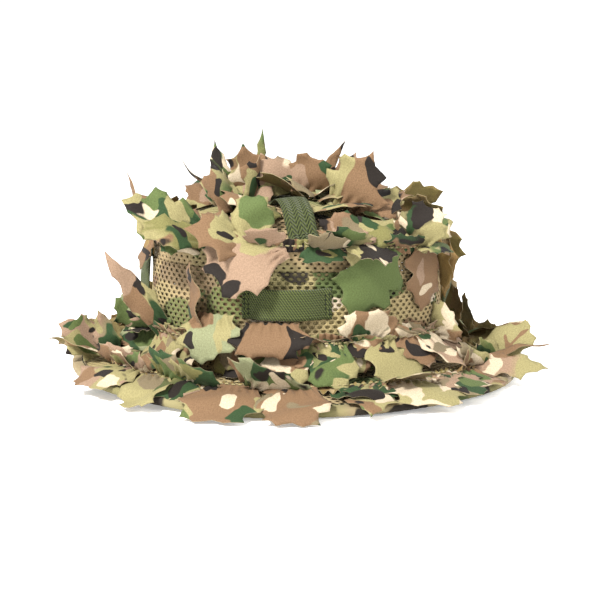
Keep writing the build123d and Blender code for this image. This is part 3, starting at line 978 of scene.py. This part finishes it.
def brim_lining(name, lift, material, slot, node):
    def ring_at(s, share, angle):
        ring = []
        for j in range(14):
            off = 0.5 + (BRIM_W - 2.5) * j / 13
            ring.append((off, brim_z(off) + lift, on_oval(angle, off, 0)[:2]))
        return ring
    lining(name, ring_at, True, 0.5, material, slot, node, flat=(2 * RIM_B / 1000, 2 * RIM_A / 1000),
           area=max(2 * brim_half_area, LEAST_SHARE * 4 * RIM_B * RIM_A / 1e6))


brim_lining("brim_stiffener_cloth", STIFF_LIFT, STIFF, "lining", "brim_stiffener")
brim_lining("brim_underside_cloth", UNDER_LIFT, UNDER, "mesh", "brim_underside")

# section of the folded tape over the brim's rim: out from the rim and up from the brim's upper face
FOLD = pairs("""-8.2,1.15 -6,1.35 -3,1.4 -1,1.3 -.1,.7 .35,-.6 .3,-2.1 -.3,-3.2 -1.5,-3.6 -4.5,-3.5 -8,-3.3 -8.1,-2.9
    -4.5,-3 -1.6,-3 -.7,-2.4 -.4,-1.2 -.7,.2 -1.6,.75 -4.5,.8 -8.1,.65""")
FOLD_AT = np.concatenate([[0], np.cumsum([math.dist(p, q) for p, q in zip(FOLD, FOLD[1:])])])
RIM_LENGTH = 940


def rim_ring(_, share, angle):
    """The rim tape's section, puckered by its stitches and kept off the floor."""
    s = share * RIM_LENGTH
    ring = []
    for (o, h), at in zip(FOLD, FOLD_AT):
        pucker = 0.28 * math.sin(math.tau * s / 6.3) * (1 if o < -5 else 0.4)
        off = BRIM_W - 0.4 + o + 0.3 * math.sin(s / 17)
        ring.append((off, max(brim_z(off) + h + pucker, 0.15), (s, at)))
    return ring


rim = settle(swept("brim_rim_tape", *around(420, rim_ring), BINDING), "binding", "brim_binding")
STITCH_OFF = BRIM_W - 7.2
rim_run = [on_oval(math.tau * i / 320, STITCH_OFF, brim_z(STITCH_OFF) + 1.45) for i in range(321)]
settle(stitches("brim_rim_stitches", [(rim_run, [UP] * len(rim_run))], GREEN_THREAD), "binding")


# ---------------------------------------------------------------- webbing loops

STRAP_WIDTH, STRAP_THICK, STRAP_FOOT = 20.0, 1.1, 5.0   # foot: how much of each end lies flat
SIDE_LOOP_Z, UPRIGHT_LOOP_Z = 62.0, 66.8
DOME_LOOP_X, DOME_LOOP_Y = 1.0, 51.0


def strap(name, node, place, length, bow, material, turn=0.0):
    """A strap sewn down at both ends, bowed between them. turn lifts one edge of its middle, in mm.

    place(s, w, h) gives a point s along, w across and h above the cloth.
    """
    count, cols, half = 56, 12, length / 2
    rings, uv = [], []
    lean = random.Random(name).uniform(-0.4, 0.4)
    for i in range(count + 1):
        s = -half + length * i / count
        t = min(max((half - STRAP_FOOT - abs(s)) / (half - STRAP_FOOT), 0), 1)
        lift = bow * (1 - (1 - t) ** 2.2) ** 1.1
        ring = []
        for k in range(2 * cols):
            top = k < cols
            w = (k if top else 2 * cols - 1 - k) / (cols - 1) * 2 - 1
            edge = 1 - 0.35 * max(abs(w) - 0.86, 0) / 0.14
            wave = 0.5 * lean * w * math.sin(s / 9) + 0.35 * math.sin(s / 6.5 + 2 * w) * t + turn * w * lift / bow
            h = lift + wave + (1 if top else -1) * STRAP_THICK / 2 * edge + STRAP_THICK / 2 + 0.15
            ring.append(place(s, w * STRAP_WIDTH / 2 * (1 + 0.012 * math.sin(s / 3.3)), h))
            uv.append((s, w * STRAP_WIDTH / 2 + (0 if top else 40)))
        rings.append(ring)
    body = settle(swept(name, rings, uv, material, closed=False), "webbing", node)
    runs = []
    for s in (1.6 - half, 4.2 - half, half - 1.6, half - 4.2):
        across = np.linspace(-STRAP_WIDTH / 2 + 1.5, STRAP_WIDTH / 2 - 1.5, 12)
        up = np.array(place(s, 0, 2.0)) - np.array(place(s, 0, 1.0))
        runs.append(([place(s, w, STRAP_THICK + 0.35) for w in across], [up] * 12))
    settle(stitches(f"{name}_stitches", runs, GREEN_THREAD, length=2.2, gap=0.9, radius=0.38), "webbing")


def level_loop(bearing):
    def place(s, w, h):
        z = SIDE_LOOP_Z + w
        return on_oval(float(angle_at(length_at(bearing) + (s - 5))), wall_off(z) + 1.6 + h, z)
    return place


def upright_loop(bearing, shift):
    def place(s, w, h):
        z = UPRIGHT_LOOP_Z + s
        angle = float(angle_at(length_at(bearing) + shift + w))
        return on_oval(angle, wall_off(z) + (1.6 if z < BAND_HIGH[2] else 0.4) + h, z)
    return place


def dome_loop(side):
    yaw = math.radians(105 if side < 0 else 285)

    def place(s, w, h):
        x = side * DOME_LOOP_X + s * math.cos(yaw) - w * math.sin(yaw)
        y = side * DOME_LOOP_Y + s * math.sin(yaw) + w * math.cos(yaw)
        fall = 30 * max(math.hypot(x / TOP_A, y / TOP_B) - 0.99, 0)
        return x, y, float(dome_z(np.array(x), np.array(y))) + 0.7 + h - fall
    return place


strap("side_loop_right", "loop_side_right", level_loop(-90), 58, 6.5, TWILL)
strap("side_loop_left", "loop_side_left", level_loop(90), 58, 6.5, TWILL)
strap("front_loop", "loop_front", upright_loop(0, -4), 54, 4.4, TWILL, 3.7)
strap("rear_loop", "loop_rear", upright_loop(180, 4), 54, 4.4, TWILL, -3.7)
strap("top_loop_right", "loop_top_right", dome_loop(-1), 58, 9.0, HERRINGBONE)
strap("top_loop_left", "loop_top_left", dome_loop(1), 58, 9.0, HERRINGBONE)


# ---------------------------------------------------------------- the leaves that the photograph shows

HOW = dict(c="curl", u="cup", w="twist", l="lay", g="gather", q="quiet", f="face", o="offset")


def leaf_table(text):
    """Leaves seen from the wearer's right, one a line.

    Before the semicolon: bearing of the root, x y z from root to tip, width, outline, ground inks, and each printed
    shape as ink, along, across, half length, half width. After it, how the leaf curls (c), cups (u), twists (w), lies
    in layers (l), gathers (g) or faces (f), how its root is moved (o), and whether it has no small prints (q). A line
    that starts with four spaces carries on the last one.
    """
    leaves = []
    for row in text.strip().replace("\n    ", " ").splitlines():
        head, *shapes = [part.split() for part in row.split(";")[0].split(",")]
        bearing, x, y, z, width = map(float, head[:5])
        how = {}
        for key, *values in (part.split() for part in row.split(";")[1].split(",")):
            values = tuple(map(float, values)) or (True,)
            how[HOW[key]] = values if len(values) == 3 else values[0]
        blobs = [(*map(float, numbers), letter) for letter, *numbers in shapes]
        leaves.append((bearing, (x, y, z), width, *head[5:], blobs, how))
    return leaves


BRIM_LEAVES = leaf_table("""
-172 -36 -10 22 36 oak tkt, g .45 .2 .1 .13, g .8 -.1 .08 .13; c 20, u 20, f -.2 -.8 .6
-164 -52 0 12 15 blade tc, b .5 0 .2 .3; c 12, w 40
-166 -8 -6 37 22 blade gtk, G .3 .1 .2 .3; c 10, u 20, f -.3 -1 .2
-146 -30 -29 -8 44 slab tkt, d .62 .1 .16 .18, k .3 -.35 .16 .16; c 30, u 10, l 1
-134 -8 -46 -13 33 slab kkk, r .2 0 .2 .3; c 26, u 10, l 3, w 16
-147 32 -16 14 22 blade gbd; c 20, w 30
-128 6 -14 20 42 oak roo, g .5 0 .2 .2; c 50, u 30, g .5
-121 16 -22 14 46 oak gGo, k .3 .3 .14 .2; c 40, u 30, g .5
-107 -12 -47 -11 50 slab bbk, c .5 .05 .3 .16, G .88 .3 .16 .16, d .25 -.3 .14 .14, g .9 -.3 .1 .12; c 36, u 16, l 4, q
-100 16 -18 18 56 fan cpg, c .6 -.2 .26 .2, c .85 -.1 .16 .16; c 40, u 20, l 1, g .5
-90 -1 -49 -11 42 slab bbr, c .5 -.22 .17 .19, c .76 .2 .15 .17, G .95 .4 .12 .1; c 36, u 16, l 5, q
-71 -2 -27 -2 40 slab dGb; c 50, u 90, l 0
-68 -4 -45 -9 38 oak kgk, c .6 .2 .18 .2, G .35 -.3 .16 .16; c 36, u 20, l 2
-54 6 -42 -7 50 slab cck, k .5 .05 .3 .09; c 30, u 10, l 4, q
-43 26 -34 -6 48 oak rtt, g .62 .15 .16 .14, d .8 -.16 .12 .14, d .72 -.3 .12 .12; c 25, u 20, l 2
-24 52 -16 0 24 oak tkt, k .85 0 .2 .3, b .4 .3 .16 .2; c 22, u 20, l 1, f .1 -.6 .8
-10 38 -8 20 24 slab kkk, b .62 .12 .05 .22, b .72 0 .14 .05; c 10, u 20, f .2 -.8 .6
-17 54 -2 12 15 spike bt, d .95 0 .2 .6; c 14, w 20
18 2 2 38 28 oak kc, p .6 .2 .16 .2; c 10, u 20
-128 8 -36 -8 36 oak oGk, d .5 0 .2 .2; c 35, u 25, l 0
-33 14 -34 -6 42 fan bkt, g .5 0 .2 .2; c 30, u 20, l 0
-60 20 -20 10 44 oak ock, c .5 .2 .2 .2; c 50, u 40, l 0
""")
BASE_LEAVES = leaf_table("""
-146 -40 -5 52 24 blade kbk, b .4 .2 .2 .2, t .8 0 .2 .4; c 14, u 40, f -.3 -1 .1
-160 -16 -6 34 26 oak kcp, p .7 0 .2 .2; c 10, u 30, f -.3 -1 .2
-166 -22 -8 18 32 oak tct, g .5 0 .2 .25; c 20, u 30, f -.3 -1 .3
-158 -20 -8 -6 22 oak ddd; c 20, u 20
-145 -4 -20 -22 38 slab kkr, b .45 -.1 .2 .12, c .75 .25 .1 .12; c 10, u 10, l 2, g .5
-127 -3 -14 53 26 oak bbd, b .5 0 .2 .3; c 14, u 10, f -1 -.42 0
-119 -8 -18 -31 46 oak ppk, b .1 -.3 .26 .24, d .6 -.2 .19 .15, d .86 .22 .14 .12, k .3 .34 .3 .14; c 30, u 0,
    l 5, g .6, q, o 0 -3 16
-98 -2 -16 -21 48 slab bbd, d .5 .32 .34 .16, d .4 -.42 .4 .14, d .1 .1 .16 .1; c 40, u 0, l 5, g .7, q, o 0 -4 12
-88 16 -10 4 30 oak btb, c .6 0 .16 .14; c 50, u 30
-94 4 -26 -24 30 slab cct, k .8 .2 .15 .2; c 20, u 20, l 1
-112 8 -14 -22 34 slab obb; c 20, u 20, l 1
-64 2 -7 24 40 slab ccb, c .7 .3 .2 .12; c 50, u 0, g .5, l 2
-76 -4 -30 -26 32 slab gGk, k .9 .2 .1 .12; c 16, u 20, l 2, g .5
-64 2 -12 -12 34 slab ddd, b .7 0 .2 .2; c 40, u 20, l 1
-53 3 -32 -27 38 slab kkk, c .85 .3 .12 .12; c 16, u 10, l 3, g .5
-38 30 -22 -22 28 blade ctc, r .5 0 .1 .3; c 14, u 20, l 3
-27 16 -6 11 32 fan ktc, c .5 0 .2 .2; c 40, u 40, g .5, f 0 -1 .3
-84 8 -20 -18 40 oak gkG, d .5 0 .2 .2; c 30, u 30, l 1
-44 12 -22 -20 36 oak tbt, d .5 0 .2 .2; c 30, u 30, l 1
-10 6 -4 -24 30 oak bg, d .5 0 .2 .2; c 20, u 30
""")
EDGE_LEAVES = leaf_table("""
-166 -18 -2 40 18 spike tbt, b .6 0 .2 .4; c 20, w 30
-128 -52 -8 21 42 oak ggG, k .35 -.3 .16 .16, k .62 .25 .12 .12, k .9 -.1 .08 .14; c 24, u 10, l 2, f -.2 -.8 .6
-165 -12 -5 -30 28 oak bmb, d .5 0 .2 .3; c 16, u 30
-126 -42 -14 6 24 slab oko, d .5 .1 .18 .16; c 40, u 20, l 3, f 0 -.7 .7
-110 -38 -14 10 36 maple bbk, c .52 .44 .2 .2, d .35 0 .12 .1; c 50, u 20, l 3, q, f 0 -.8 .6
-100 -4 -14 14 26 slab ttb; c 70, u 40, l 1
-95 -50 -10 -20 46 fan ttt, k .14 -.2 .2 .26, k .36 -.44 .18 .16, d .94 .1 .24 .26, d .84 .36 .22 .16; c 24,
    u 20, l 4, g .45
-106 1 10 33 25 slab kkk, g .66 0 .22 .3; c 20, u 20, l 0, f 0 -1 .4
-62 6 8 20 30 slab oGd, k .7 .2 .16 .2; c 30, u 30, f 0 -1 .4
-82 16 -14 10 30 slab crc, r .7 0 .2 .2; c 80, u 50
-80 2 -12 -12 28 fan GGo, d .5 0 .2 .2; c 40, u 30, l 1
-72 10 -10 14 34 slab kGd, g .8 0 .2 .2; c 60, u 30, g .45
-69 30 -10 -6 34 slab ddd, c .5 .14 .13 .13, c .78 -.12 .14 .14, k .08 0 .14 .6; c 30, u 20, l 3, g .5
-46 8 -8 12 40 slab Gdk, d .5 0 .2 .2; c 60, u 30, g .5
-38 12 -8 34 30 slab kdc, d .5 .2 .2 .16, k .3 -.3 .2 .16, c .85 -.1 .16 .24; c 40, u 20, f 0 -.8 .6
-32 18 -14 -6 32 fan kgk, g .6 .2 .2 .2, d .9 0 .14 .3; c 50, u 30, l 2
-8 5 -6 -48 24 blade mmb, b .5 0 .2 .3; c 10, u 30, f .2 1 0
-18 7 -8 -38 24 oak mbm, m .5 0 .2 .3; c 20, u 30, f .7 .7 0
-55 -24 -12 -50 50 oak ggg, k .2 -.4 .26 .16, k .4 -.5 .24 .12; c 20, u 16, l 3, g .5
-31 -4 -10 -50 42 oak bbb, t .42 -.06 .13 .1, c .66 .1 .12 .12; c 16, u 20, l 2
""")
DOME_REAR_LEAVES = leaf_table("""
-8 -6 0 46 19 blade gdc, c .5 .2 .16 .3, d .75 -.1 .16 .3; c 10, u 20, f .3 -1 0
-4 -34 2 36 17 spike ddb, b .3 0 .16 .3; c 14, w 20
-40 -26 -24 18 46 oak gkd, d .6 0 .2 .2; c 50, u 20, l 1, f 0 -.7 .7
-60 -10 -30 2 40 slab okg, c .6 0 .2 .2; c 60, u 20, l 1, f 0 -.7 .7
""")
DOME_FRONT_LEAVES = leaf_table("""
-48 20 -6 44 46 maple bbb, d .7 -.15 .2 .3, k .45 .38 .4 .14; c 20, u 50, w 20, f -.5 -1 .1
-38 40 -36 -16 16 spike kc, g .5 0 .16 .3; c 40, w 10
-56 4 -30 4 42 slab dkb, G .6 0 .2 .2; c 60, u 30, l 1, f 0 -.7 .7
-20 26 -26 4 40 oak gdk, c .5 0 .2 .2; c 50, u 30, f 0 -.7 .7
""")
# here the first number is the root's x in mm, not a bearing
DOME_CENTRE_LEAVES = leaf_table("""
-28 6 4 50 18 spike gok, k .35 0 .14 .6; c 12, w 10, f .2 -1 0
-30 -6 -8 40 40 maple kbk, b .6 0 .18 .16, c .9 .2 .1 .2; c 30, u 20, f 0 -1 .2
-22 -16 -26 22 38 oak bbk, d .5 0 .2 .2; c 50, u 30, f 0 -.8 .5
6 -38 -8 22 30 slab rtk, k .5 .3 .16 .16; c 50, u 40, l 2, g .5, f 0 -1 .5
6 10 -8 29 30 slab bbb, G .75 -.3 .2 .16, t .35 .2 .16 .16; c 20, u 20, f 0 -1 .2
12 24 2 40 17 spike ddb, b .3 0 .16 .4; c 16, w 20
26 14 -34 8 44 oak ktr, b .5 0 .2 .2; c 60, u 20, l 1, f 0 -.7 .7
30 14 8 34 30 maple ktb, b .5 0 .2 .2; c 30, u 20, f 0 -1 .2
""")


# ---------------------------------------------------------------- leaf strips

def mirrored(leaves):
    """The same kind of leaves for the far side: turned half round the hat's middle."""
    out = []
    for bearing, (x, y, z), *middle, how in leaves:
        turned = {k: (-v[0], -v[1], v[2]) for k, v in how.items() if k in ("face", "offset")}
        out.append((bearing + 180, (-x, -y, z), *middle, {**how, **turned}))
    return out


def level_strip(where, side, leaves, seed, fill):
    """fill has (count, lift, spread, length, width) for further leaves, and any bearings they lie between."""
    word = "right" if side < 0 else "left"
    strip = Strip(f"leaves_{where}_{word}", seed)
    rng = strip.rng
    first, last = (180.5, 359.5) if side < 0 else (0.5, 179.5)
    strip.level_middle(where, first, last)
    for spec in leaves:
        strip.placed_leaf(*path_point(where, spec[0]), spec)
    for count, lift, spread, length, width, *window in fill:
        low, high = window or (first, last)
        for k in range(count):
            bearing = low + (high - low) * (k + rng.uniform(0.2, 0.8)) / count
            strip.random_leaf(where, bearing, lift + rng.uniform(-spread, spread), length * rng.uniform(0.85, 1.1),
                              width * rng.uniform(0.8, 1.15), rng.uniform(-28, 28))
    strip.build(f"leaf_strip_{where}_{word}")


level_strip("brim", -1, BRIM_LEAVES, 11,
            [(5, -12, 4, 26, 34, 236, 345), (3, 55, 14, 18, 34, 198, 226), (3, 55, 14, 18, 36, 322, 350)])
level_strip("brim", 1, mirrored(BRIM_LEAVES[1::2]), 12, [(13, -6, 10, 42, 44), (13, 60, 18, 24, 40)])
level_strip("base", -1, BASE_LEAVES, 21, [(12, -66, 8, 24, 38), (12, 55, 20, 12, 32)])
level_strip("base", 1, mirrored(BASE_LEAVES[1::2]), 22, [(12, -58, 14, 32, 42), (12, 65, 18, 24, 38)])
level_strip("edge", -1, EDGE_LEAVES, 31, [(5, 125, 10, 26, 36, 186, 250), (5, 125, 10, 26, 36, 286, 355)])
level_strip("edge", 1, mirrored([s for s in EDGE_LEAVES if -131 < s[0] < -44]), 32,
            [(8, -55, 15, 42, 44, 20, 160), (11, 128, 14, 34, 42)])


def on_dome(x, y):
    return np.array([x, y, float(dome_z(x, y)) + ROW_LIFT])


def arc_point(bearing_deg):
    """(point, outward) on the oval of the dome's two arcs."""
    bearing = math.radians(bearing_deg)
    x, y = ARC_A * math.cos(bearing), ARC_B * math.sin(bearing)
    return on_dome(x, y), unit((x / ARC_A, y / ARC_B, 0))


def centre_point(share):
    """(point, outward) on the dome's middle line, outward to one side or the other."""
    return on_dome(-CENTRE_HALF + 2 * CENTRE_HALF * share, 0), np.array([0, -1.0 if int(share * 97) % 2 else 1.0, 0])


def dome_strip(word, line, leaves, seed, fill):
    """line(share) gives (point, outward) along the strip, and leaves are (point, outward, leaf)."""
    strip = Strip(f"leaves_dome_{word}", seed)
    rng = strip.rng
    for leaf in leaves:
        strip.placed_leaf(*leaf)
    for k in range(fill):
        root, out = line((k + rng.uniform(0.2, 0.8)) / fill)
        lean = rng.uniform(-0.5, 0.5)
        chord = (1 if k % 3 else -0.6) * out + np.array([-out[1], out[0], 0]) * lean
        chord = chord + np.array([0, 0, rng.uniform(0.12, 0.5)])
        length = rng.uniform(30, 42)
        ground, blobs = strip.random_print()
        strip.leaf(root, chord, 0.3 * out + np.array([0, -0.6, 0.9]), length, rng.uniform(30, 42),
                   rng.choice(["oak", "maple", "fan", "blade", "slab"]), ground, blobs, rng.uniform(10, 60),
                   rng.uniform(0, 50), rng.uniform(-30, 30), rng.uniform(0.5, 0.65), rng.uniform(0, 2))
    strip.dome_middle(np.array([line(q)[0] for q in np.linspace(0, 1, 100)]))
    strip.build(f"leaf_strip_dome_{word}")


dome_strip("rear", lambda q: arc_point(180 - ARC_HALF + 2 * ARC_HALF * q),
           [(*arc_point(180 - s[0]), s) for s in DOME_REAR_LEAVES], 41, 5)
dome_strip("front", lambda q: arc_point(-ARC_HALF + 2 * ARC_HALF * q),
           [(*arc_point(s[0]), s) for s in DOME_FRONT_LEAVES], 42, 6)
dome_strip("centre", centre_point,
           [(on_dome(s[0], 0), np.array([0, -0.7, 0.3]), s) for s in DOME_CENTRE_LEAVES], 43, 4)

for where, above in (("brim", 2.3), ("base", 3.4), ("edge", 2.3)):
    path = [path_point(where, bearing) for bearing in range(361)]
    normals = [UP if where == "brim" else out for _, out in path]
    line = [p + n * above for (p, _), n in zip(path, normals)]
    row = stitches(f"leaf_stitches_{where}", [(line, normals)], KHAKI_THREAD, length=3.0, gap=1.2, radius=0.5)
    settle(row, "leaf_cloth")


# ---------------------------------------------------------------- floor, light and camera

floor_mesh = bpy.data.meshes.new("floor")
floor_mesh.from_pydata([(-6, -6, 0), (6, -6, 0), (6, 6, 0), (-6, 6, 0)], [], [(0, 1, 2, 3)])
floor = bpy.data.objects.new("floor", floor_mesh)
bpy.context.scene.collection.objects.link(floor)
pale = Nodes("pale_floor", 0.9, specular=0.0)
pale.set("Emission Color", (1, 1, 1, 1))
pale.set("Emission Strength", 0.30)
speck = pale.noise(pale.add("ShaderNodeTexCoord")["Object"], 3.0)
floor_mesh.materials.append(pale.finish(pale.mix(speck, (0.93, 0.93, 0.92, 1), (0.95, 0.95, 0.945, 1))))

world = bpy.data.worlds.new("studio")
bpy.context.scene.world = world
world.use_nodes = True
world.node_tree.nodes["Background"].inputs["Color"].default_value = (1.0, 1.0, 1.0, 1)
world.node_tree.nodes["Background"].inputs["Strength"].default_value = 1.06


def look(obj, at, toward):
    """Puts a lamp or camera at a place, turned toward a point."""
    obj.location = at
    obj.rotation_euler = (Vector(toward) - obj.location).to_track_quat("-Z", "Y").to_euler()
    bpy.context.scene.collection.objects.link(obj)


def area_light(name, at, size, power, colour=(1, 1, 1)):
    data = bpy.data.lights.new(name, "AREA")
    data.shape = "DISK"
    data.size, data.energy, data.color = size, power, colour
    look(bpy.data.objects.new(name, data), at, (0, 0, 0.06))


area_light("key", (-0.9, -1.1, 1.5), 0.42, 84, (1.0, 0.985, 0.965))
area_light("fill", (1.3, -0.9, 0.9), 0.9, 13)

camera_data = bpy.data.cameras.new("camera")
camera_data.lens = 76.7
camera_data.sensor_width = 36
camera = bpy.data.objects.new("camera", camera_data)
look(camera, (0, -0.900, 0.210), (0.0053, 0, 0.0475))
bpy.context.scene.camera = camera
bpy.context.scene.view_settings.view_transform = "Standard"
